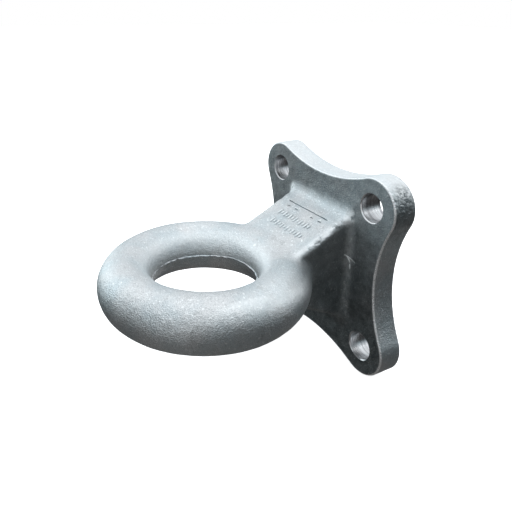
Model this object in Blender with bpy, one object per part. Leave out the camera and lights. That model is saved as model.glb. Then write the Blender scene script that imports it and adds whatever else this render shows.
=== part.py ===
"""Flange-mounted drawbar eye: one closed-die steel forging.

A round towing ring stands out from a four-lobed bolting flange on a short,
flared rectangular shank.  The flange's back face lies on Y = 0 and looks
along +Y, the ring stands out along -Y with its eye vertical, and the die
parting plane is Z = 0.  Units are metres.
"""
from math import atan2, asin, ceil, cos, hypot, pi, radians, sin, sqrt, tan

import bmesh
import bpy

# ---- driving dimensions ---------------------------------------------------
EYE_BORE = 0.0762            # clear diameter of the eye
RING_SECTION = 0.0381        # diameter of the round bar that forms the ring
EYE_REACH = 0.12065          # flange back face to the middle of the eye

FLANGE_THICKNESS = 0.01905
BOLT_SPACING = 0.1095        # square bolt pattern
BOLT_HOLE = 0.0206
LOBE_RADIUS = 0.0222         # round corner lobe, concentric with its bolt hole
SIDE_WAIST = 0.0638           # flange centre to the hollow of a vertical side
TOP_WAIST = 0.0665            # flange centre to the hollow of the top or bottom side

SHANK_WIDTH = 0.072
SHANK_HEIGHT = 0.086         # height where the shank meets the flange
SHANK_CORNER = 0.0065         # rounding along the shank's four long edges
ROOT_FILLET = 0.007          # shank to flange

FRONT_ROUND = 0.0012          # rounding of the flange's front edge
BACK_CHAMFER = 0.0008
HOLE_CHAMFER = 0.0008
FLASH_HEIGHT = 0.0012        # trimmed parting-line flash inside the eye
FLASH_WIDTH = 0.0020

RING_STEPS = 88              # flats around the ring
SECTION_STEPS = 26           # flats around the ring's bar
HOLE_STEPS = 36
ARC_STEP = radians(9.0)      # turn of one flat on the flange outline

# ---- derived --------------------------------------------------------------
BAR_RADIUS = RING_SECTION / 2
RING_RADIUS = EYE_BORE / 2 + BAR_RADIUS
EYE_CENTRE_Y = -EYE_REACH
FLANGE_FRONT_Y = -FLANGE_THICKNESS
BOLT_OFFSET = BOLT_SPACING / 2


def remove_everything():
    for item in list(bpy.data.objects):
        bpy.data.objects.remove(item, do_unlink=True)


def steel(name):
    material = bpy.data.materials.new(name)
    material.use_nodes = True
    shader = material.node_tree.nodes["Principled BSDF"]
    shader.inputs["Base Color"].default_value = (0.56, 0.59, 0.61, 1.0)
    shader.inputs["Metallic"].default_value = 0.9
    shader.inputs["Roughness"].default_value = 0.42
    return material


def mesh_object(name, bm, cutter=False):
    bmesh.ops.recalc_face_normals(bm, faces=bm.faces[:])
    mesh = bpy.data.meshes.new(name)
    bm.to_mesh(mesh)
    bm.free()
    item = bpy.data.objects.new(name, mesh)
    bpy.context.scene.collection.objects.link(item)
    if cutter:
        item.hide_render = True
        item.display_type = "WIRE"
    return item


def turned(name, profile, steps):
    """Spin a closed profile of (radius, height) points about the Z axis."""
    bm = bmesh.new()
    verts = [bm.verts.new((radius, 0.0, height)) for radius, height in profile]
    edges = [bm.edges.new((verts[i - 1], verts[i])) for i in range(len(verts))]
    bmesh.ops.spin(bm, geom=verts + edges, cent=(0, 0, 0), axis=(0, 0, 1),
                   angle=2 * pi, steps=steps, use_merge=True)
    return mesh_object(name, bm, cutter=True)


def loft(loops_of_points):
    """Closed body through a row of outlines that have the same number of points."""
    bm = bmesh.new()
    loops = [[bm.verts.new(point) for point in points] for points in loops_of_points]
    for near, far in zip(loops, loops[1:]):
        for i in range(len(near)):
            bm.faces.new((near[i - 1], near[i], far[i], far[i - 1]))
    bm.faces.new(loops[0])
    bm.faces.new(loops[-1])
    return bm


def ring_profile():
    """Round bar section with the trimmed flash ridge on its inner side."""
    flash_angle = asin(FLASH_WIDTH / RING_SECTION)
    points = []
    for i in range(SECTION_STEPS + 1):
        angle = pi + flash_angle + (2 * pi - 2 * flash_angle) * i / SECTION_STEPS
        points.append((RING_RADIUS + BAR_RADIUS * cos(angle), BAR_RADIUS * sin(angle)))
    crest = RING_RADIUS - BAR_RADIUS - FLASH_HEIGHT
    points.append((crest, FLASH_WIDTH * 0.28))
    points.append((crest, -FLASH_WIDTH * 0.28))
    return points


def ring_body():
    ring = turned("ring_body", ring_profile(), RING_STEPS)
    ring.location = (0.0, EYE_CENTRE_Y, 0.0)
    return ring


def top_slope():
    """Angle of the shank's sloped top, which runs tangent onto the ring's bar."""
    run = FLANGE_FRONT_Y - (EYE_CENTRE_Y + RING_RADIUS)
    rise = SHANK_HEIGHT / 2
    return atan2(rise, run) - asin(BAR_RADIUS / hypot(run, rise))


def shank_half_height(y):
    return SHANK_HEIGHT / 2 - tan(top_slope()) * (FLANGE_FRONT_Y - y)


def root_flare(y):
    """How far the fillet widens the shank at this distance from the flange."""
    away = min(FLANGE_FRONT_Y - y, ROOT_FILLET)
    return ROOT_FILLET - sqrt(ROOT_FILLET ** 2 - (ROOT_FILLET - max(away, 0.0002)) ** 2)


def rounded_rectangle(half_width, half_height, radius, steps=5):
    points = []
    for quarter, (sx, sz) in enumerate(((1, 1), (-1, 1), (-1, -1), (1, -1))):
        for i in range(steps + 1):
            angle = pi / 2 * (quarter + i / steps)
            x = sx * (half_width - radius) + radius * cos(angle)
            z = sz * (half_height - radius) + radius * sin(angle)
            points.append((x, z))
    return points


def shank_body():
    """Rounded rectangles from inside the flange, down the slope, into the ring."""
    stations = [FLANGE_FRONT_Y + 0.006]
    for part in (0.0, 0.03, 0.13, 0.29, 0.5, 0.74, 1.0):
        stations.append(FLANGE_FRONT_Y - ROOT_FILLET * part)
    ring_crest = EYE_CENTRE_Y + RING_RADIUS
    stations.append((stations[-1] + ring_crest) / 2)
    stations.append(ring_crest - BAR_RADIUS * 0.40)
    outlines = []
    for y in stations:
        flare = root_flare(y)
        height = shank_half_height(min(y, FLANGE_FRONT_Y)) + flare
        outline = rounded_rectangle(SHANK_WIDTH / 2 + flare, height, SHANK_CORNER + flare)
        outlines.append([(x, y, z) for x, z in outline])
    tip = ring_crest - BAR_RADIUS * 0.62
    buried = rounded_rectangle(SHANK_WIDTH / 2 - 0.004, BAR_RADIUS * 0.7, 0.006)
    outlines.append([(x, tip, z) for x, z in buried])
    return mesh_object("shank_body", loft(outlines), cutter=True)


def arc(centre, radius, start, end):
    """Points along an arc, its start included and its end left out."""
    count = max(2, ceil(abs(end - start) / ARC_STEP))
    points = []
    for i in range(count):
        angle = start + (end - start) * i / count
        points.append((centre[0] + radius * cos(angle), centre[1] + radius * sin(angle)))
    return points


def hollow_radius(waist):
    """Radius of the concave side that reaches this waist and is tangent to two lobes."""
    drop = BOLT_OFFSET - waist
    return (BOLT_OFFSET ** 2 + drop ** 2 - LOBE_RADIUS ** 2) / (2 * (LOBE_RADIUS + drop))


def flange_outline(shrink):
    """Four convex lobes joined by concave sides, drawn in by shrink."""
    side = hollow_radius(SIDE_WAIST)
    top = hollow_radius(TOP_WAIST)
    side_centre = (SIDE_WAIST + side, 0.0)
    top_centre = (0.0, TOP_WAIST + top)
    lobe_centre = (BOLT_OFFSET, BOLT_OFFSET)
    side_turn = atan2(BOLT_OFFSET, BOLT_OFFSET - side_centre[0])
    top_turn = atan2(top_centre[1] - BOLT_OFFSET, -BOLT_OFFSET)
    quarter = arc(side_centre, side + shrink, pi, side_turn)
    quarter += arc(lobe_centre, LOBE_RADIUS - shrink, side_turn - pi, top_turn)
    quarter += arc(top_centre, top + shrink, top_turn - pi, -pi / 2)
    half = quarter + [(0.0, TOP_WAIST - shrink)]
    half += [(-x, z) for x, z in reversed(quarter[1:])]
    return half + [(-x, -z) for x, z in half]


def flange_body():
    """The outline stacked through the thickness and drawn in at both edges."""
    layers = [(0.0, BACK_CHAMFER), (-BACK_CHAMFER, 0.0)]
    for i in range(4):
        angle = pi / 2 * i / 3
        layers.append((FLANGE_FRONT_Y + FRONT_ROUND * (1 - sin(angle)),
                       FRONT_ROUND * (1 - cos(angle))))
    outlines = [[(x, y, z) for x, z in flange_outline(shrink)] for y, shrink in layers]
    return mesh_object("flange_body", loft(outlines))


def bolt_hole_cutter(name, x, z):
    """Plain drill with a small countersink that runs past each face."""
    radius = BOLT_HOLE / 2
    past = 0.004
    wide = radius + HOLE_CHAMFER + past
    profile = ((wide, past), (radius, -HOLE_CHAMFER),
               (radius, FLANGE_FRONT_Y + HOLE_CHAMFER), (wide, FLANGE_FRONT_Y - past))
    outlines = []
    for ring_radius, y in profile:
        turns = [2 * pi * i / HOLE_STEPS for i in range(HOLE_STEPS)]
        outlines.append([(ring_radius * cos(turn), y, ring_radius * sin(turn)) for turn in turns])
    cutter = mesh_object(name, loft(outlines), cutter=True)
    cutter.location = (x, 0.0, z)
    return cutter


def combine(target, other, operation):
    modifier = target.modifiers.new(operation.lower() + "_" + other.name, "BOOLEAN")
    modifier.operation = operation
    modifier.solver = "EXACT"
    modifier.object = other


def main():
    remove_everything()
    forging = flange_body()
    forging.name = "drawbar_eye_forging"
    combine(forging, shank_body(), "UNION")
    combine(forging, ring_body(), "UNION")
    number = 0
    for x in (-BOLT_OFFSET, BOLT_OFFSET):
        for z in (-BOLT_OFFSET, BOLT_OFFSET):
            number += 1
            combine(forging, bolt_hole_cutter("bolt_hole_%d" % number, x, z), "DIFFERENCE")
    forging.data.materials.append(steel("forged_steel"))
    forging.data.shade_smooth()
    forging.data.set_sharp_from_angle(angle=radians(32.0))


main()
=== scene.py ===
# %% [markdown]
# # Flange-mounted drawbar eye
# One closed-die steel forging: a round towing ring, a short flared shank and
# a four-lobed bolting flange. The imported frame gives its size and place. This
# lesson builds the fine surface around that frame: the blended fillets, the
# chewed edges, the ragged flash line inside the eye, the machined bolt holes
# and the shot-blasted steel itself.

# %% Load the frame
from math import asin, atan2, ceil, cos, hypot, pi, radians, sin, sqrt, tan

import bmesh
import bpy
import numpy as np
from mathutils import Matrix, Vector, noise


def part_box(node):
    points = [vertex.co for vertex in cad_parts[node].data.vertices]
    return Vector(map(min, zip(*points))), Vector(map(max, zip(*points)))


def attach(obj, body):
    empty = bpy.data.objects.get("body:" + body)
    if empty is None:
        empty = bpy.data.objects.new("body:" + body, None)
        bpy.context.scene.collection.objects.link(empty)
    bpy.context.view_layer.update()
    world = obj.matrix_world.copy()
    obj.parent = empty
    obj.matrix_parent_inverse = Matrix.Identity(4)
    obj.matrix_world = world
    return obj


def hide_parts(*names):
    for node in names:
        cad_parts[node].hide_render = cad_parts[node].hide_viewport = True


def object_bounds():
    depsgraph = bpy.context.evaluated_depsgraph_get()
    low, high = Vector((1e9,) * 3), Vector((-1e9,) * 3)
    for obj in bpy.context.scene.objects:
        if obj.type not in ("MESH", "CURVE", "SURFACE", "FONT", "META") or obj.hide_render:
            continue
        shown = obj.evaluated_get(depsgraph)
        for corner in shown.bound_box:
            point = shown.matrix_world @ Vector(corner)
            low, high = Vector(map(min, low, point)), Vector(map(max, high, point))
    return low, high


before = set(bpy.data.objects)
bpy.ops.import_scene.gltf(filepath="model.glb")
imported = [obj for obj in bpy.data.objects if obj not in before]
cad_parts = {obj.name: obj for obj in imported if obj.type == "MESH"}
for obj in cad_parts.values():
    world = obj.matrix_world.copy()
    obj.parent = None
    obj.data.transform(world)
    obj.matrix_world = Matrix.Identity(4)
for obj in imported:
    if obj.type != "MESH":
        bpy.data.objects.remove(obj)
cad_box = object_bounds()
node_low, node_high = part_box("drawbar_eye_forging")
print("frame box, mm:", [round(1000 * v, 1) for v in (*node_low, *node_high)])

# %% [markdown]
# ## Driving sizes
# The flange's back face is Y = 0 and the ring stands out along -Y, so the
# frame's box gives the outer sizes and the rest are the forging's own
# dimensions, in metres.

# %% Sizes
RING_SECTION = 0.0381
RING_OUTER = 0.1524
BAR_RADIUS = RING_SECTION / 2
RING_RADIUS = RING_OUTER / 2 - BAR_RADIUS
EYE_Y = node_low.y + RING_OUTER / 2
FLANGE_THICKNESS = 0.01905
FRONT_Y = -FLANGE_THICKNESS
BOLT_OFFSET = 0.1095 / 2
BOLT_RADIUS = 0.0206 / 2
LOBE_RADIUS = node_high.x - BOLT_OFFSET
SIDE_WAIST = 0.0638
TOP_WAIST = 0.0665
SHANK_WIDTH = 0.072
SHANK_HEIGHT = 0.086
SHANK_CORNER = 0.0050
ROOT_FILLET = 0.007
FRONT_CHAMFER = 0.0011
print("eye centre y %.2f mm, lobe radius %.2f mm" % (1000 * EYE_Y, 1000 * LOBE_RADIUS))

# %% [markdown]
# ## Rough bodies
# A forging has no sharp inner corner, and a bevel can't follow the seam where
# a ring, a wedge and a plate meet. So the three bodies are first made roughly
# with ordinary operators: the flange is an extruded outline, the ring a
# circle spun round the eye, and the shank a cube whose far end is squeezed.

# %% Ring, shank and flange blanks
ARC_STEP = radians(5)
BAR_SIDES = 32
RING_SIDES = 96


def hollow_radius(waist):
    """Radius of the concave side that reaches a waist and touches two lobes."""
    drop = BOLT_OFFSET - waist
    return (BOLT_OFFSET ** 2 + drop ** 2 - LOBE_RADIUS ** 2) / (2 * (LOBE_RADIUS + drop))


SIDE_HOLLOW = hollow_radius(SIDE_WAIST)
TOP_HOLLOW = hollow_radius(TOP_WAIST)
SIDE_CENTRE = (SIDE_WAIST + SIDE_HOLLOW, 0.0)
TOP_CENTRE = (0.0, TOP_WAIST + TOP_HOLLOW)


def arc(centre, radius, start, end):
    """Points along an arc in the XZ plane, the last one left out."""
    count = max(2, ceil(abs(end - start) / ARC_STEP))
    turns = [start + (end - start) * i / count for i in range(count)]
    return [(centre[0] + radius * cos(t), centre[1] + radius * sin(t)) for t in turns]


def add_flange(bm):
    side_turn = atan2(BOLT_OFFSET, BOLT_OFFSET - SIDE_CENTRE[0])
    top_turn = atan2(TOP_CENTRE[1] - BOLT_OFFSET, -BOLT_OFFSET)
    quarter = arc(SIDE_CENTRE, SIDE_HOLLOW, pi, side_turn)
    quarter += arc((BOLT_OFFSET, BOLT_OFFSET), LOBE_RADIUS, side_turn - pi, top_turn)
    quarter += arc(TOP_CENTRE, TOP_HOLLOW, top_turn - pi, -pi / 2)
    half = quarter + [(0.0, TOP_WAIST)] + [(-x, z) for x, z in reversed(quarter[1:])]
    outline = half + [(-x, -z) for x, z in half]
    face = bm.faces.new([bm.verts.new((x, 0.0, z)) for x, z in outline])
    grown = bmesh.ops.extrude_face_region(bm, geom=[face])["geom"]
    moved = [v for v in grown if isinstance(v, bmesh.types.BMVert)]
    bmesh.ops.translate(bm, verts=moved, vec=(0.0, FRONT_Y, 0.0))


def add_ring(bm):
    circle = bmesh.ops.create_circle(bm, segments=BAR_SIDES, radius=BAR_RADIUS)["verts"]
    bmesh.ops.rotate(bm, verts=circle, matrix=Matrix.Rotation(pi / 2, 3, "X"))
    bmesh.ops.translate(bm, verts=circle, vec=(RING_RADIUS, EYE_Y, 0.0))
    edges = list({edge for vert in circle for edge in vert.link_edges})
    bmesh.ops.spin(bm, geom=circle + edges, cent=(0, EYE_Y, 0), axis=(0, 0, 1),
                   angle=2 * pi, steps=RING_SIDES, use_merge=True)


RING_CREST_Y = EYE_Y + RING_RADIUS
SHANK_RUN = FRONT_Y - RING_CREST_Y
SLOPE = atan2(SHANK_HEIGHT / 2, SHANK_RUN) - asin(BAR_RADIUS / hypot(SHANK_RUN, SHANK_HEIGHT / 2))
SHANK_END_Y = RING_CREST_Y - BAR_RADIUS * 0.35


def add_shank(bm):
    length = FRONT_Y / 2 - SHANK_END_Y
    cube = bmesh.ops.create_cube(bm, size=1.0)["verts"]
    bmesh.ops.scale(bm, verts=cube, vec=(SHANK_WIDTH, length, SHANK_HEIGHT))
    bmesh.ops.translate(bm, verts=cube, vec=(0.0, SHANK_END_Y + length / 2, 0.0))
    tip = [v for v in cube if v.co.y < SHANK_END_Y + length / 2]
    tip_height = SHANK_HEIGHT / 2 - tan(SLOPE) * (FRONT_Y - SHANK_END_Y)
    bmesh.ops.scale(bm, verts=tip, vec=(1.0, 1.0, 2 * tip_height / SHANK_HEIGHT))


def as_object(bm, name):
    """Turn a finished bmesh into a linked object."""
    mesh = bpy.data.meshes.new(name)
    bm.to_mesh(mesh)
    bm.free()
    item = bpy.data.objects.new(name, mesh)
    bpy.context.scene.collection.objects.link(item)
    return item


# %% Blank
blank = bmesh.new()
add_flange(blank)
add_ring(blank)
add_shank(blank)
bmesh.ops.recalc_face_normals(blank, faces=blank.faces[:])
blank_item = as_object(blank, "forging_blank")
print("blank faces:", len(blank_item.data.polygons), " slope: %.1f deg" % (SLOPE * 180 / pi))

# %% [markdown]
# ## Fuse the blanks
# The Remesh modifier in voxel mode turns the overlapping blanks into one
# closed skin of even squares. Its result is applied by reading the evaluated
# mesh, so no live modifier is left.

# %% Voxel skin
SKIN_GRID = 0.00145


def applied(item, name):
    """A new mesh object that holds what the item looks like now."""
    bpy.context.view_layer.update()
    seen = item.evaluated_get(bpy.context.evaluated_depsgraph_get())
    mesh = bpy.data.meshes.new_from_object(seen)
    bpy.data.objects.remove(item, do_unlink=True)
    mesh.name = name
    made = bpy.data.objects.new(name, mesh)
    bpy.context.scene.collection.objects.link(made)
    return made


remesh = blank_item.modifiers.new("fuse", "REMESH")
remesh.mode = "VOXEL"
remesh.voxel_size = SKIN_GRID
forging = applied(blank_item, "drawbar_eye_skin")
print("skin points:", len(forging.data.vertices))

# %% [markdown]
# ## The blended surface
# Each body is described by a distance: negative inside, positive outside.
# Two distances are joined with a rolling-ball fillet, as the die sinker cuts
# it, and two are crossed with a rounded corner. The shank and the ring meet
# at a low angle, where a ball would run far out, so they are blended over a
# short width instead. Later the points of the skin slide along the slope of
# the joined distance until it is zero.

# %% Joining distances
def fillet_join(a, b, radius):
    """Union of two bodies with a concave fillet of that radius."""
    near = np.hypot(np.maximum(radius - a, 0), np.maximum(radius - b, 0))
    return np.maximum(radius, np.minimum(a, b)) - near


def soft_join(a, b, width):
    """Union of two bodies that meet at a low angle, blended over that width."""
    overlap = np.maximum(width - np.abs(a - b), 0) / width
    return np.minimum(a, b) - overlap ** 2 * width / 4


def rounded_cross(a, b, radius):
    """Intersection of two bodies with a convex rounding of that radius."""
    past = np.hypot(np.maximum(a + radius, 0), np.maximum(b + radius, 0))
    return past + np.minimum(np.maximum(a + radius, b + radius), 0) - radius


# %% Distances of the three bodies
RING_BLEND = 0.0036
CHAMFER_ROUND = 0.0005
BACK_ROUND = 0.0009


def ring_distance(p):
    around = np.hypot(p[:, 0], p[:, 1] - EYE_Y) - RING_RADIUS
    return np.hypot(around, p[:, 2]) - BAR_RADIUS


def shank_faces(p):
    """Distances to the upright sides and to the sloped top and bottom."""
    height = SHANK_HEIGHT / 2 - tan(SLOPE) * (FRONT_Y - p[:, 1])
    return np.abs(p[:, 0]) - SHANK_WIDTH / 2, (np.abs(p[:, 2]) - height) * cos(SLOPE)


def shank_distance(p):
    side, top = shank_faces(p)
    ends = np.maximum(SHANK_END_Y - p[:, 1], p[:, 1] - FRONT_Y / 2)
    return np.maximum(rounded_cross(side, top, SHANK_CORNER), ends)


def outline_distance(p):
    """Distance to the flange's outline, seen along Y: two hollows and a lobe."""
    x, z = np.abs(p[:, 0]), np.abs(p[:, 2])
    side = SIDE_HOLLOW - np.hypot(x - SIDE_CENTRE[0], z)
    top = TOP_HOLLOW - np.hypot(x, z - TOP_CENTRE[1])
    lobe = np.hypot(x - BOLT_OFFSET, z - BOLT_OFFSET) - LOBE_RADIUS
    to_lobe = SIDE_CENTRE[0] - BOLT_OFFSET
    by_side = (z - BOLT_OFFSET) * to_lobe + (x - BOLT_OFFSET) * BOLT_OFFSET < 0
    to_lobe = TOP_CENTRE[1] - BOLT_OFFSET
    by_top = (x - BOLT_OFFSET) * to_lobe + (z - BOLT_OFFSET) * BOLT_OFFSET < 0
    outline = np.where(by_side & by_top, np.maximum(side, top), np.where(by_side, side, top))
    return np.where(by_side | by_top, outline, lobe)


def chamfer_distance(p):
    return (outline_distance(p) + FRONT_Y - p[:, 1] + FRONT_CHAMFER) / sqrt(2)


def flange_distance(p):
    outline, front = outline_distance(p), FRONT_Y - p[:, 1]
    edge = rounded_cross(outline, chamfer_distance(p), CHAMFER_ROUND)
    body = rounded_cross(edge, front, CHAMFER_ROUND)
    return np.maximum(body, rounded_cross(outline, p[:, 1], BACK_ROUND))


def forging_distance(p):
    arm = soft_join(ring_distance(p), shank_distance(p), RING_BLEND)
    return fillet_join(arm, flange_distance(p), ROOT_FILLET)


# %% [markdown]
# ## Finer squares where the shape turns quickly
# The skin's squares are too coarse for the flange's chamfer, for the chewed
# edges of the slope and for a pitted patch on one lobe. Only the squares in
# those bands are split, so the mesh stays light.

# %% Split the bands
PITTED_SPOT = np.array((BOLT_OFFSET + 0.85 * LOBE_RADIUS, -0.0085, BOLT_OFFSET + 0.50 * LOBE_RADIUS))
RIM_BAND = 0.0040
CREST_BAND = 0.0026
SLOPE_EDGE_BAND = 0.0060
PITS_BAND = 0.016


def near_rim(p, width):
    return np.hypot(outline_distance(p), p[:, 1] - FRONT_Y) < width


def near_slope_edge(p, width):
    side, top = shank_faces(p)
    on_arm = (p[:, 1] > RING_CREST_Y) & (p[:, 1] < FRONT_Y)
    return on_arm & (p[:, 2] > 0) & (np.hypot(side, top) < width)


def from_pits(p):
    return np.sqrt(((p - PITTED_SPOT) ** 2).sum(axis=1))


def in_bands(p):
    return near_rim(p, RIM_BAND) | near_slope_edge(p, SLOPE_EDGE_BAND) | (from_pits(p) < PITS_BAND)


def split(mesh, wanted):
    """Cut every edge of the wanted faces in two."""
    bm = bmesh.new()
    bm.from_mesh(mesh)
    middles = np.array([face.calc_center_median() for face in bm.faces])
    chosen = {edge for face, take in zip(bm.faces, wanted(middles)) if take for edge in face.edges}
    bmesh.ops.subdivide_edges(bm, edges=list(chosen), cuts=1, use_grid_fill=True)
    bm.to_mesh(mesh)
    bm.free()


split(forging.data, in_bands)
split(forging.data, lambda p: near_rim(p, CREST_BAND))
print("skin points after splitting:", len(forging.data.vertices))

# %% [markdown]
# ## Forging relief
# Shallow waves come from the die and its scale. The long edges of the slope
# are chewed where the dies wore, and one lobe carries a rough pitted patch.
# All of it is real relief, so it shows in the outline and in the mesh.

# %% Where the relief is strong
def rising(value, start, width):
    """0 up to the start, then rising to 1 over that width."""
    return np.clip((value - start) / width, 0, 1)


def slope_edge(p, width):
    """1 on the long upper edges of the shank, fading over that width."""
    side, top = shank_faces(p)
    return np.exp(-(side ** 2 + top ** 2) / width ** 2) * (p[:, 2] > 0)


def slope_face(p):
    """1 on the sloped faces, clear of their edges and of the flange."""
    side, top = shank_faces(p)
    return rising(-np.abs(top), -0.002, 0.002) * rising(-side, 0, 0.004) * (p[:, 1] < FRONT_Y - 0.004)


# %% Relief
DIE_WAVES = ((0.00020, 45), (0.00010, 160))
RIM_CALM = 0.6
SLOPE_WAVES = (0.00020, 260)
CHEWED = ((0.0009, 240, 0.1), (0.0010, 520, -0.1))
PITS = (0.00045, 560, 1100)


def hammered(p):
    """Height of the relief at each point."""
    rim = np.exp(-(np.minimum(np.abs(outline_distance(p)), 0.01) / 0.002) ** 2)
    calm = 1.0 - RIM_CALM * rim
    sloped = slope_face(p)
    chewed = slope_edge(p, 0.0040) * (p[:, 1] < FRONT_Y - 0.002) * rising(p[:, 1], RING_CREST_Y, 0.008)
    pitted = rising(-from_pits(p), -0.0125, 0.003)
    waves = np.zeros(len(p))
    for i, place in enumerate(p):
        spot = Vector(place)
        waves[i] = calm[i] * sum(height * noise.noise(spot * pitch) for height, pitch in DIE_WAVES)
        if sloped[i] > 0:
            waves[i] += sloped[i] * SLOPE_WAVES[0] * noise.noise(spot * SLOPE_WAVES[1])
        if chewed[i] > 0.02:
            for depth, pitch, level in CHEWED:
                waves[i] -= chewed[i] * depth * max(0.0, noise.noise(spot * pitch) + level)
        if pitted[i] > 0:
            pit = max(0.0, noise.noise(spot * PITS[1]) - 0.05) + 0.5 * noise.noise(spot * PITS[2])
            waves[i] -= pitted[i] * PITS[0] * pit
    return waves * rising(-p[:, 1], 0, 0.003)


# %% Slide the skin onto the surface
def slope_of(distance, p, step=0.00002):
    columns = []
    for axis in range(3):
        shift = np.zeros(3)
        shift[axis] = step
        columns.append((distance(p + shift) - distance(p - shift)) / (2 * step))
    return np.stack(columns, axis=1)


def read(collection, field):
    """One vector field of a mesh as rows of three."""
    rows = np.zeros(len(collection) * 3)
    collection.foreach_get(field, rows)
    return rows.reshape(-1, 3)


points = read(forging.data.vertices, "co")
for sweep in range(4):
    value = forging_distance(points)
    slope = slope_of(forging_distance, points)
    steepness = np.maximum((slope ** 2).sum(axis=1), 0.2)
    points -= slope * (value / steepness)[:, None]
print("largest miss, mm: %.4f" % (1000 * np.abs(forging_distance(points)).max()))
relief = hammered(points)
points += slope_of(forging_distance, points) * relief[:, None]
forging.data.vertices.foreach_set("co", points.ravel())
forging.data.update()
print("relief, mm: %.2f to %.2f" % (1000 * relief.min(), 1000 * relief.max()))

# %% [markdown]
# ## Bolt holes
# The holes are drilled after forging, so they are crisp and bright. Each
# cutter is four circles bridged in a row: wide outside both faces, then down
# to the drill's own size, which leaves a small countersink at each face.

# %% Cutters
COUNTERSINK = 0.0007
CUTTER_REACH = 0.004
HOLE_SIDES = 96


def drill(bm, x, z):
    wide = BOLT_RADIUS + COUNTERSINK + CUTTER_REACH
    levels = ((CUTTER_REACH, wide), (-COUNTERSINK, BOLT_RADIUS),
              (FRONT_Y + COUNTERSINK, BOLT_RADIUS), (FRONT_Y - CUTTER_REACH, wide))
    rings = []
    for y, radius in levels:
        ring = bmesh.ops.create_circle(bm, segments=HOLE_SIDES, radius=radius)["verts"]
        bmesh.ops.rotate(bm, verts=ring, matrix=Matrix.Rotation(pi / 2, 3, "X"))
        bmesh.ops.translate(bm, verts=ring, vec=(x, y, z))
        rings.append(list({edge for vert in ring for edge in vert.link_edges}))
    for near, far in zip(rings, rings[1:]):
        bmesh.ops.bridge_loops(bm, edges=near + far)
    for ring in (rings[0], rings[-1]):
        bmesh.ops.contextual_create(bm, geom=ring)


drills = bmesh.new()
for x in (-BOLT_OFFSET, BOLT_OFFSET):
    for z in (-BOLT_OFFSET, BOLT_OFFSET):
        drill(drills, x, z)
bmesh.ops.recalc_face_normals(drills, faces=drills.faces[:])
drill_item = as_object(drills, "drills")
print("drill faces:", len(drill_item.data.polygons))

# %% [markdown]
# ## Marks on the slope
# The shank's sloped top carries a cut line and some small cut strokes, and two
# rows of raised work below them. The real one spells something there; this
# one has plain bars, long and short in turn, that say nothing. Places on the
# slope are given as a distance across and a distance down from the flange.

# %% Places on the slope
SLOPE_TURN = Matrix.Rotation(SLOPE, 4, "X")
SLOPE_TOP = Matrix.Translation((0.0, FRONT_Y, SHANK_HEIGHT / 2))


def on_slope(across, down, lift=0.0):
    """Matrix that puts a piece on the sloped face, its Z axis out of the face."""
    return SLOPE_TOP @ SLOPE_TURN @ Matrix.Translation((across, -down, lift))


def add_bar(bm, across, down, size, lift=0.0, rounding=0.0):
    """A block on the slope; its upper edges are rounded when that is asked for."""
    cube = bmesh.ops.create_cube(bm, size=1.0)["verts"]
    bmesh.ops.scale(bm, verts=cube, vec=size)
    if rounding:
        upper = {vert for vert in cube if vert.co.z > 0}
        edges = list({edge for vert in upper for edge in vert.link_edges})
        result = bmesh.ops.bevel(bm, geom=edges, offset=rounding, affect="EDGES", segments=3,
                                 profile=0.5, material=-1)
        cube = list({v for f in result["faces"] for v in f.verts} | {v for v in cube if v.is_valid})
    bmesh.ops.transform(bm, matrix=on_slope(across, down, lift), verts=cube)


# %% Cut line and strokes
CUT_LINE = (0.0482, 0.0010, 0.0024)
CUT_LINE_DOWN = 0.0140
STROKES = ((-0.0180, 0.0030), (-0.0085, 0.0040), (0.0110, 0.0030), (0.0200, 0.0034))
STROKE_DOWN = 0.0186
STROKE_THICKNESS = 0.0011
STROKE_DEPTH = 0.0016

cuts = bmesh.new()
add_bar(cuts, 0.0004, CUT_LINE_DOWN, CUT_LINE)
for across, width in STROKES:
    add_bar(cuts, across, STROKE_DOWN, (width, STROKE_THICKNESS, STROKE_DEPTH))
cut_item = as_object(cuts, "slope_cuts")
print("cut faces:", len(cut_item.data.polygons))

# %% Raised bars
BAR_ROWS = ((0.0270, -0.0190), (0.0372, -0.0165))
BARS_PER_ROW = 12
BAR_STEP = 0.0033
BAR_WIDTH = 0.0019
BAR_LENGTHS = (0.0056, 0.0034)
BAR_HEIGHT = 0.0022
BAR_SUNK = 0.0004
BAR_ROUND = 0.0006

marks = bmesh.new()
for down, start in BAR_ROWS:
    for i in range(BARS_PER_ROW):
        size = (BAR_WIDTH, BAR_LENGTHS[i % 2], BAR_HEIGHT)
        add_bar(marks, start + BAR_STEP * i, down, size, -BAR_SUNK, BAR_ROUND)
raised_bars = as_object(marks, "raised_bars")
print("raised faces:", len(raised_bars.data.polygons))

# %% Cut the skin
for name, cutter in (("slope_cuts", cut_item), ("drills", drill_item)):
    cut = forging.modifiers.new(name, "BOOLEAN")
    cut.operation = "DIFFERENCE"
    cut.solver = "EXACT"
    cut.object = cutter
forging = applied(forging, "drawbar_eye_skin")
for cutter in (cut_item, drill_item):
    bpy.data.objects.remove(cutter, do_unlink=True)
print("forging faces:", len(forging.data.polygons))

# %% [markdown]
# ## Where the finish and the painted light change
# The plate's front and the upright sides carry painted shade, darkest towards
# the bottom and towards +X. The chamfer and the slope's edges are partly rubbed
# and partly painted highlight, the flange's upturned rims, the eye's upper wall
# and the ring beside the shank carry painted highlight, and the flange's
# sideways rims are darker. Each finish and each painted light is a soft mask
# from 0 to 1, kept on the mesh as an attribute, so the material follows the
# shape and not the view.

# %% Mask helpers
def add_mask(item, name, values):
    mask = item.data.attributes.new(name, "FLOAT", "POINT")
    mask.data.foreach_set("value", np.clip(values, 0, 1).astype(np.float32))
    print("mask %s covers %.1f %%" % (name, 100 * np.mean(np.clip(values, 0, 1))))


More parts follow.
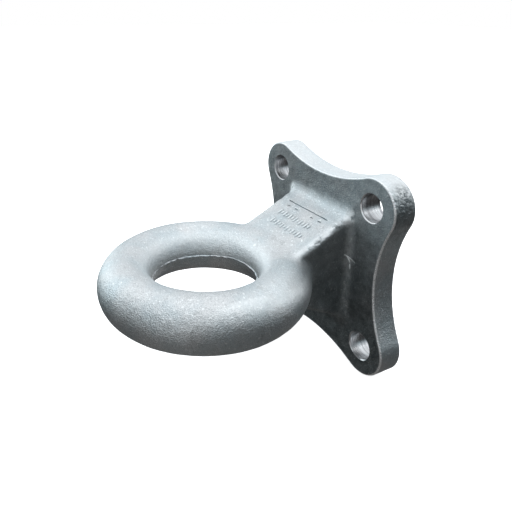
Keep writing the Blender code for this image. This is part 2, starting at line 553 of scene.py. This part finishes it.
points = read(forging.data.vertices, "co")
facing = read(forging.data.vertex_normals, "vector")
across, height = np.abs(points[:, 0]), points[:, 2]
outline, front = outline_distance(points), FRONT_Y - points[:, 1]
side, top = shank_faces(points)
past_ring = rising(ring_distance(points), 0.0008, 0.0030)
upward = rising(facing[:, 2], 0.3125, 0.625)
on_outline = np.clip(1 + outline / 0.002, 0, 1)

# %% Painted shade on the plate and upright sides
RAGGED_PITCH = 330
ragged = np.array([noise.noise(Vector(place) * RAGGED_PITCH) for place in points])
on_front = np.clip(1 - np.abs(front) / 0.003, 0, 1)
below_slope = rising(-top + 0.0018 * ragged, 0.0012, 0.0016) * np.clip(1 + side / 0.008, 0, 1)
on_side = np.where(height < 0, 1.0, below_slope) * (front > -0.003)
# Painted shade: darkens the plate's front and the upright sides, most towards the bottom and towards +X.
darkness = 0.76 + 0.24 * np.clip(0.1 - height / 0.06 + points[:, 0] / 0.30, 0, 1)
darkness *= rising(-outline, 0, 0.002) * past_ring
add_mask(forging, "painted_shade_plate", darkness * np.maximum(on_front, on_side))
add_mask(forging, "ruled", (1 - on_side) * (1 - on_front) * (1 - (front - 0.010) / 0.004) * (front > 0))

# %% Rubbed edges and painted highlights
# The chamfer is partly rubbed bare and partly painted highlight; faces turned upward are left out.
on_chamfer = chamfer_distance(points) - np.maximum(outline, front)
add_mask(forging, "rubbed_edge_and_highlight", (0.5 + on_chamfer / 0.0003) * (1 - upward))
# The slope's long edges: partly rubbed wear, partly painted highlight and painted shade, as pale and dark
# spots.
add_mask(forging, "slope_edge", slope_edge(points, 0.0035) * (front > 0) * past_ring)
# Painted highlight: the flange's upturned rims, the eye's upper inner wall and the ring beside the shank
# are paled.
from_eye = np.hypot(across, points[:, 1] - EYE_Y)
eye_wall = rising(-from_eye, 0.008 - RING_RADIUS, 0.006) * rising(height, 0, 0.001)
from_shoulder = np.hypot(across - RING_OUTER / 2, points[:, 1] - EYE_Y - 0.030)
shoulder = np.clip(1.5 - from_shoulder / 0.026, 0, 1) * rising(height, 0.003, 0.008) * (1 - past_ring)
add_mask(forging, "painted_highlight", np.maximum(upward * on_outline, 0.9 * np.maximum(eye_wall, shoulder)))

# %% Darker side rims and pitted lobes
below_lobe = rising(-height, -0.015 - BOLT_OFFSET, 0.004) * rising(height, 0.030, 0.012)
# The flange's sideways rims are darker, most on the upper part of each side.
add_mask(forging, "darker_side_rims", (0.3 + 0.7 * below_lobe) * np.abs(facing[:, 0]) * on_outline)
add_mask(forging, "pitted", 1.3 - from_pits(points) / 0.011)

# %% [markdown]
# ## Flash line
# Where the two dies met, a thin fin of steel was squeezed out and trimmed
# away. Outside it was ground flush; inside the eye a ragged ridge is left.
# It is a small ridge spun round the eye and then pushed about by noise.

# %% Ragged ridge inside the eye
FLASH_STEPS = 720
FLASH_HEIGHT = 0.0007
FLASH_DRIFT = 0.0012
FLASH_DROP = 0.0006
BORE_RADIUS = RING_RADIUS - BAR_RADIUS
FLASH_PROFILE = ((0.0012, -0.0014), (0.0000, -0.0006), (-FLASH_HEIGHT, -0.0002),
                 (-FLASH_HEIGHT, 0.0001), (0.0000, 0.0005), (0.0012, 0.0013))

flash = bmesh.new()
chain = [flash.verts.new((BORE_RADIUS + out, EYE_Y, z)) for out, z in FLASH_PROFILE]
edges = [flash.edges.new((chain[i - 1], chain[i])) for i in range(len(chain))]
bmesh.ops.spin(flash, geom=chain + edges, cent=(0, EYE_Y, 0), axis=(0, 0, 1),
               angle=2 * pi, steps=FLASH_STEPS, use_merge=True)
for vert in flash.verts:
    arm = Vector((vert.co.x, vert.co.y - EYE_Y, 0.0))
    crest = max(0.0, BORE_RADIUS - arm.length) / FLASH_HEIGHT
    ragged_height = noise.noise(arm * 70) + 0.8 * noise.noise(arm * 420) - 0.15
    drift = noise.noise(arm * 40 + Vector((0, 0, 5))) + 0.4 * noise.noise(arm * 260)
    vert.co -= arm.normalized() * (FLASH_HEIGHT * ragged_height * crest)
    vert.co.z += FLASH_DRIFT * drift * (0.5 + 0.5 * crest) - FLASH_DROP
bmesh.ops.recalc_face_normals(flash, faces=flash.faces[:])
parting_flash = as_object(flash, "parting_flash")
print("flash faces:", len(parting_flash.data.polygons))

# %% [markdown]
# ## Shader helper
# A material is a chain of small sums. The class below wraps one output socket
# so that sums can be written as Python expressions.

# %% Shader expressions
class Value:
    """An output socket that can be added, subtracted and multiplied."""

    def __init__(self, paint, socket):
        self.paint = paint
        self.socket = socket

    def sum(self, operation, other, swap=False, clamp=False):
        first, second = (other, self) if swap else (self, other)
        return self.paint.node("ShaderNodeMath", {"operation": operation, "use_clamp": clamp},
                               {0: first, 1: second})

    def __add__(self, other):
        return self.sum("ADD", other)

    def __radd__(self, other):
        return self.sum("ADD", other, swap=True)

    def __sub__(self, other):
        return self.sum("SUBTRACT", other)

    def __rsub__(self, other):
        return self.sum("SUBTRACT", other, swap=True)

    def __mul__(self, other):
        return self.sum("MULTIPLY", other)

    def __rmul__(self, other):
        return self.sum("MULTIPLY", other, swap=True)

    def clamp(self):
        return self.sum("ADD", 0.0, clamp=True)


class Paint:
    """One material and the nodes in it."""

    def __init__(self, name):
        self.material = bpy.data.materials.new(name)
        self.material.use_nodes = True
        self.tree = self.material.node_tree
        self.shader = self.tree.nodes["Principled BSDF"]

    def node(self, kind, settings=None, inputs=None, output=0):
        made = self.tree.nodes.new(kind)
        for key, value in (settings or {}).items():
            setattr(made, key, value)
        for key, value in (inputs or {}).items():
            self.set(made.inputs[key], value)
        return Value(self, made.outputs[output])

    def set(self, socket, value):
        if isinstance(value, Value):
            self.tree.links.new(value.socket, socket)
        else:
            socket.default_value = value

    def place(self):
        return self.node("ShaderNodeTexCoord", output="Object")

    def noise(self, place, scale, detail, roughness=0.5):
        return self.node("ShaderNodeTexNoise", None,
                         {"Vector": place, "Scale": scale, "Detail": detail,
                          "Roughness": roughness, "Distortion": 0.0})

    def step(self, value, low, high):
        return self.node("ShaderNodeMapRange", {"interpolation_type": "SMOOTHSTEP"},
                         {"Value": value, "From Min": low, "From Max": high})

    def mix(self, factor, first, second):
        return self.node("ShaderNodeMix", {"data_type": "RGBA"},
                         {0: factor, 6: first, 7: second}, output=2)

    def vector(self, operation, first, second, output=0):
        """Vector Math; the second value of SCALE is its factor."""
        other = "Scale" if operation == "SCALE" else 1
        return self.node("ShaderNodeVectorMath", {"operation": operation},
                         {0: first, other: second}, output=output)

    def near(self, place, spot, inner, outer):
        """1 near a spot, falling to 0 at the outer distance."""
        away = self.vector("DISTANCE", place, spot, output="Value")
        return 1.0 - self.step(away, inner, outer)

    def flat(self, place, normal):
        """The place with its part along that normal taken away."""
        height = self.vector("DOT_PRODUCT", place, normal, output="Value")
        return self.vector("SUBTRACT", place, self.vector("SCALE", normal, height))

    def stroke(self, place, start, end, width):
        """1 on the line from start to end, falling to 0 at that distance from it."""
        along = end - start
        offset = self.vector("SUBTRACT", place, start)
        part = self.vector("DOT_PRODUCT", offset, along / along.length_squared, output="Value").clamp()
        away = self.vector("DISTANCE", offset, self.vector("SCALE", along, part), output="Value")
        return 1.0 - self.step(away, 0.4 * width, width)

    def mask(self, name):
        return self.node("ShaderNodeAttribute", {"attribute_name": name}, output="Fac")

    def bump(self, height, distance, below=None):
        inputs = {"Height": height, "Distance": distance, "Strength": 1.0}
        if below is not None:
            inputs["Normal"] = below
        return self.node("ShaderNodeBump", None, inputs)

    def use(self, **inputs):
        for key, value in inputs.items():
            self.set(self.shader.inputs[key.replace("_", " ")], value)
        return self.material


# %% [markdown]
# ## Light scratches
# Something sharp has hit one upright fillet and left a few light scratches.
# They are too fine for the mesh, so the shader draws them: the fillet is
# looked at square on, by taking away the part along its normal, and each
# scratch is the distance to a short line.

# %% Scratches
FILLET_NORMAL = Vector((1.0, -1.0, 0.0)).normalized()
SCRATCH_WIDTH = 0.0007
SCRATCHES = ((0.25, 0.0125, 1.00, 0.0080), (0.45, 0.0112, 0.62, 0.0075), (0.62, 0.0075, 0.66, 0.0020))


def on_fillet(turn, z):
    """A point on the upright fillet between the shank and the flange; turn goes from 0 to 1."""
    x = SHANK_WIDTH / 2 + ROOT_FILLET * (1 - cos(turn * pi / 2))
    return Vector((x, FRONT_Y - ROOT_FILLET * (1 - sin(turn * pi / 2)), z))


def square_on(point):
    return point - FILLET_NORMAL * point.dot(FILLET_NORMAL)


def scratched(paint, place):
    level = paint.flat(place, FILLET_NORMAL)
    total = 0.0
    for start_turn, start_z, end_turn, end_z in SCRATCHES:
        start = square_on(on_fillet(start_turn, start_z))
        end = square_on(on_fillet(end_turn, end_z))
        total = paint.stroke(level, start, end, SCRATCH_WIDTH) + total
    return total.clamp() * paint.near(place, on_fillet(0.5, 0.0080), 0.010, 0.013)


# %% [markdown]
# ## Shot-blasted forged steel
# The forging was blasted clean and is a cool light grey. It isn't mirror
# bright: fine dimples from the shot scatter the light, and painted glints, pale
# smoother specks, break the edge of the light into sparks. Three sizes of noise
# make the dimples, and slow noise moves the colour between bluish and plain
# grey. The masks then lay the painted shade, the painted highlights, the pale
# wear and the darker places over it.

# %% Colours of the forging
COOL = (0.51, 0.565, 0.59, 1.0)
PLAIN = (0.60, 0.615, 0.625, 1.0)
DULL = (0.32, 0.34, 0.345, 1.0)
DARK = (0.112, 0.130, 0.136, 1.0)
PALE = (0.86, 0.89, 0.90, 1.0)
BARE_AND_HIGHLIGHT = (0.94, 0.95, 0.96, 1.0)


# %% Forged steel
def forged_colour(paint, place, slow, blotch, grain, fine, painted_glint):
    """The blasted grey, then each finish and painted-light mask laid over it in turn."""
    colour = paint.mix(paint.step(slow, 0.35, 0.65), COOL, PLAIN)
    colour = paint.mix(paint.step(blotch, 0.56, 0.76) * 0.45, colour, DULL)
    colour = paint.mix(paint.step(fine, 0.44, 0.32) * 0.60, colour, DULL)
    # Painted glints: pale specks all over.
    colour = paint.mix(painted_glint * 0.75, colour, PALE)
    # Darker sideways rims of the flange.
    colour = paint.mix(paint.mask("darker_side_rims") * (0.20 + 0.9 * blotch), colour, DARK)
    # Painted shade on the plate's front and the upright sides.
    shaded = paint.mask("painted_shade_plate")
    colour = paint.mix(shaded * (0.42 + 0.9 * blotch).clamp(), colour, DARK)
    # Painted glints in the painted shade.
    colour = paint.mix(shaded * painted_glint * 0.45, colour, PLAIN)
    # Painted highlight on the upturned rims, the eye's upper wall and the ring beside the shank.
    colour = paint.mix(paint.mask("painted_highlight") * (0.20 + 0.7 * grain), colour, PALE)
    # Pale and dark spots on the slope's edges: partly wear, partly painted highlight and painted shade.
    chewed = paint.mask("slope_edge")
    colour = paint.mix(chewed * paint.step(blotch, 0.38, 0.50) * 0.9, colour, PALE)
    colour = paint.mix(chewed * paint.step(blotch, 0.44, 0.38) * 0.7, colour, DARK)
    pits = paint.mask("pitted") * (0.20 + 0.80 * paint.step(grain, 0.42, 0.60))
    colour = paint.mix(pits, colour, DARK)
    # Rubbed chamfer and painted highlight.
    colour = paint.mix(paint.mask("rubbed_edge_and_highlight") * (0.55 + 0.6 * grain).clamp(), colour, BARE_AND_HIGHLIGHT)
    return paint.mix(scratched(paint, place) * paint.step(grain, 0.28, 0.48), colour, PALE)


def forged_steel():
    paint = Paint("forged_steel")
    place = paint.place()
    slow = paint.noise(place, 38.0, 3.0)
    blotch = paint.noise(place, 150.0, 4.0, 0.6)
    grain = paint.noise(place, 520.0, 4.0, 0.65)
    fine = paint.noise(place, 1250.0, 2.0, 0.6)
    # Painted glints: where the fine noise or the grain runs high, pale and smoother specks stand in for
    # sparks of light.
    painted_glint = (paint.step(fine, 0.60, 0.70) + paint.step(grain, 0.59, 0.66)).clamp()
    colour = forged_colour(paint, place, slow, blotch, grain, fine, painted_glint)
    rough = 0.41 + 0.16 * (grain - 0.5) + 0.10 * (slow - 0.5)
    rough = rough - 0.12 * paint.mask("rubbed_edge_and_highlight") - 0.12 * painted_glint
    ruled_place = paint.node("ShaderNodeMapping", None, {"Vector": place, "Scale": (45.0, 1500.0, 45.0)})
    lines = paint.noise(ruled_place, 1.0, 2.0) * paint.mask("ruled")
    normal = paint.bump(lines, 0.00010)
    normal = paint.bump(blotch, 0.00045, below=normal)
    normal = paint.bump(grain, 0.00030, below=normal)
    normal = paint.bump(fine, 0.00042, below=normal)
    return paint.use(Base_Color=colour, Roughness=rough.clamp(), Metallic=0.90, Normal=normal)


# %% [markdown]
# ## Machined steel
# The bolt holes are drilled and reamed, so their walls are bright and carry
# fine rings round the hole. The rings are noise that changes quickly along
# the hole's axis and hardly at all across it.

# %% Machined steel
def machined_steel():
    paint = Paint("machined_steel")
    place = paint.place()
    stretched = paint.node("ShaderNodeMapping", None, {"Vector": place, "Scale": (8.0, 1500.0, 8.0)})
    rings = paint.noise(stretched, 1.0, 2.0)
    tint = paint.mix(paint.step(rings, 0.35, 0.70), (0.66, 0.67, 0.68, 1.0), (0.30, 0.30, 0.31, 1.0))
    rough = 0.22 + 0.12 * rings
    normal = paint.bump(rings, 0.00003)
    return paint.use(Base_Color=tint, Roughness=rough, Metallic=1.0, Normal=normal)


# %% [markdown]
# ## Rubbed steel with painted highlight
# The raised bars stand proud, so everything that slides over the slope rubs
# them. They are paler than the steel around them, partly from that wear and
# partly as painted highlight, and still a little rough.

# %% Rubbed steel with painted highlight
def rubbed_and_highlit_steel():
    paint = Paint("rubbed_and_highlit_steel")
    place = paint.place()
    grain = paint.noise(place, 700.0, 3.0, 0.6)
    # Wear and painted highlight: the bars are paler than the forging.
    colour = paint.mix(paint.step(grain, 0.35, 0.65), (0.52, 0.57, 0.59, 1.0), (0.74, 0.77, 0.78, 1.0))
    rough = 0.36 + 0.14 * grain
    return paint.use(Base_Color=colour, Roughness=rough, Metallic=0.85, Normal=paint.bump(grain, 0.00012))


# %% [markdown]
# ## Give the pieces their finish
# The forging has two finishes. The faces of the four bores are found by their
# distance from a hole's axis, and they alone take the machined steel.

# %% Finishes
SHARP_EDGE = radians(40)
steel = forged_steel()
for item, finish in ((forging, steel), (raised_bars, rubbed_and_highlit_steel()), (parting_flash, steel)):
    item.data.materials.clear()
    item.data.materials.append(finish)
forging.data.materials.append(machined_steel())
bored = 0
for face in forging.data.polygons:
    x, y, z = face.center
    from_axis = hypot(abs(x) - BOLT_OFFSET, abs(z) - BOLT_OFFSET)
    if from_axis < BOLT_RADIUS + COUNTERSINK and abs(face.normal.y) < 0.9:
        face.material_index = 1
        bored += 1
for item in (forging, raised_bars, parting_flash):
    item.data.shade_smooth()
    item.data.set_sharp_from_angle(angle=SHARP_EDGE)
print("machined faces:", bored)

# %% [markdown]
# ## Ride and replace
# The whole object is one rigid body, called root. The fine skin stands for
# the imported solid, and the small pieces ride with it.

# %% Ride
for item in (forging, raised_bars, parting_flash):
    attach(item, "root")
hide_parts("drawbar_eye_forging")

# %% [markdown]
# ## Floor
# A plain pale floor just under the lowest lobes. It glows, so hardly any
# shadow shows on it, and it neither blocks light nor throws it back, because
# one softbox stands below its level.

# %% Floor
FLOOR_DROP = 0.001
FLOOR_HALF_WIDTH = 6.0
floor_bm = bmesh.new()
bmesh.ops.create_grid(floor_bm, x_segments=1, y_segments=1, size=FLOOR_HALF_WIDTH)
bmesh.ops.translate(floor_bm, verts=floor_bm.verts[:], vec=(0.0, 0.0, node_low.z - FLOOR_DROP))
floor = as_object(floor_bm, "floor")
floor.data.materials.append(Paint("pale_floor").use(
    Base_Color=(0.86, 0.86, 0.86, 1.0), Roughness=0.9,
    Emission_Color=(1.0, 1.0, 1.0, 1.0), Emission_Strength=0.80))
floor.visible_glossy = False
floor.visible_diffuse = False
floor.visible_shadow = False
print("floor at, mm: %.1f" % (1000 * (node_low.z - FLOOR_DROP)))

# %% [markdown]
# ## Studio dome
# Bare steel shows what stands round it, so the world is a soft dome: bright
# overhead, falling to nearly nothing at the horizon, with a weak glow from
# below. The dome leans a little to the left and away. The camera itself sees
# plain white.

# %% World
WORLD_LEAN = Vector((-0.25, 0.10, 0.96))
WORLD_STOPS = ((0.0, (0.20, 0.195, 0.19)), (0.24, (0.06, 0.06, 0.06)), (0.50, (0.03, 0.03, 0.03)),
               (0.58, (0.26, 0.33, 0.36)), (0.66, (0.58, 0.66, 0.70)), (0.74, (0.74, 0.80, 0.84)),
               (0.84, (1.10, 1.16, 1.20)), (1.0, (1.40, 1.43, 1.46)))
world = bpy.data.worlds.new("studio")
world.use_nodes = True
bpy.context.scene.world = world
sky = world.node_tree
direction = sky.nodes.new("ShaderNodeTexCoord")
lean = sky.nodes.new("ShaderNodeVectorMath")
lean.operation = "DOT_PRODUCT"
lean.inputs[1].default_value = WORLD_LEAN.normalized()
rise = sky.nodes.new("ShaderNodeMapRange")
rise.inputs["From Min"].default_value = -1.0
ramp = sky.nodes.new("ShaderNodeValToRGB")
for i, (spot, colour) in enumerate(WORLD_STOPS):
    stop = ramp.color_ramp.elements[i] if i < 2 else ramp.color_ramp.elements.new(spot)
    stop.position = spot
    stop.color = (*colour, 1.0)
seen = sky.nodes.new("ShaderNodeLightPath")
choice = sky.nodes.new("ShaderNodeMix")
choice.data_type = "RGBA"
choice.inputs[7].default_value = (1.0, 1.0, 1.0, 1.0)
sky.links.new(direction.outputs["Generated"], lean.inputs[0])
sky.links.new(lean.outputs["Value"], rise.inputs["Value"])
sky.links.new(rise.outputs[0], ramp.inputs[0])
sky.links.new(seen.outputs["Is Camera Ray"], choice.inputs[0])
sky.links.new(ramp.outputs[0], choice.inputs[6])
sky.links.new(choice.outputs[2], sky.nodes["Background"].inputs["Color"])
print("dome stops:", len(WORLD_STOPS))

# %% [markdown]
# ## Softboxes
# Weak square lights fill what the dome leaves black: the plate's front and
# the ring's outside from in front, the ring's left from a cool low box, and
# the rims from behind. All face the middle of the object.

# %% Lights
SOFTBOXES = (
    ("overhead_softbox", (0.10, -0.10, 1.20), 0.8, 1.2, (1.0, 1.0, 1.0)),
    ("front_softbox", (0.58, -0.84, 0.20), 1.0, 1.8, (1.0, 1.0, 1.0)),
    ("left_softbox", (-0.93, -0.55, 0.17), 0.8, 2.9, (0.90, 0.98, 1.0)),
    ("right_softbox", (0.36, 0.94, 0.46), 0.5, 2.3, (1.0, 1.0, 1.0)),
    ("back_softbox", (-0.50, 0.85, -0.25), 1.2, 2.1, (1.0, 1.0, 1.0)),
)
middle = (cad_box[0] + cad_box[1]) / 2
for name, place, size, power, colour in SOFTBOXES:
    light = bpy.data.lights.new(name, "AREA")
    light.size = size
    light.energy = power
    light.color = colour
    item = bpy.data.objects.new(name, light)
    bpy.context.scene.collection.objects.link(item)
    item.location = place
    item.rotation_euler = (middle - Vector(place)).to_track_quat("-Z", "Y").to_euler()
print("softboxes:", len(SOFTBOXES))

# %% [markdown]
# ## Camera
# The camera stands to the right of the ring, a little above it, and looks
# almost level past the object. A downward shift of the lens brings the
# object to its place in the frame without bending its upright lines.

# %% Camera
CAMERA_PLACE = Vector((0.31301, -0.27933, 0.19069))
CAMERA_AZIMUTH = radians(61.37)
CAMERA_RISE = radians(15.38)
CAMERA_ROLL = radians(0.65)
camera = bpy.data.objects.new("camera", bpy.data.cameras.new("camera"))
bpy.context.scene.collection.objects.link(camera)
facing_away = Vector((sin(CAMERA_AZIMUTH), -cos(CAMERA_AZIMUTH), 0.0))
back = cos(CAMERA_RISE) * facing_away + Vector((0.0, 0.0, sin(CAMERA_RISE)))
level = Vector((cos(CAMERA_AZIMUTH), sin(CAMERA_AZIMUTH), 0.0))
upright = back.cross(level)
right = cos(CAMERA_ROLL) * level + sin(CAMERA_ROLL) * upright
up = cos(CAMERA_ROLL) * upright - sin(CAMERA_ROLL) * level
turn = Matrix((right, up, back)).transposed()
camera.matrix_world = Matrix.Translation(CAMERA_PLACE) @ turn.to_4x4()
camera.data.sensor_width = 36.0
camera.data.lens = 37.95
camera.data.shift_x = 0.0679
camera.data.shift_y = -0.2026
camera.data.clip_start = 0.01
bpy.context.scene.camera = camera
bpy.context.scene.view_settings.view_transform = "Standard"
print("camera place, mm:", [round(1000 * v) for v in CAMERA_PLACE])
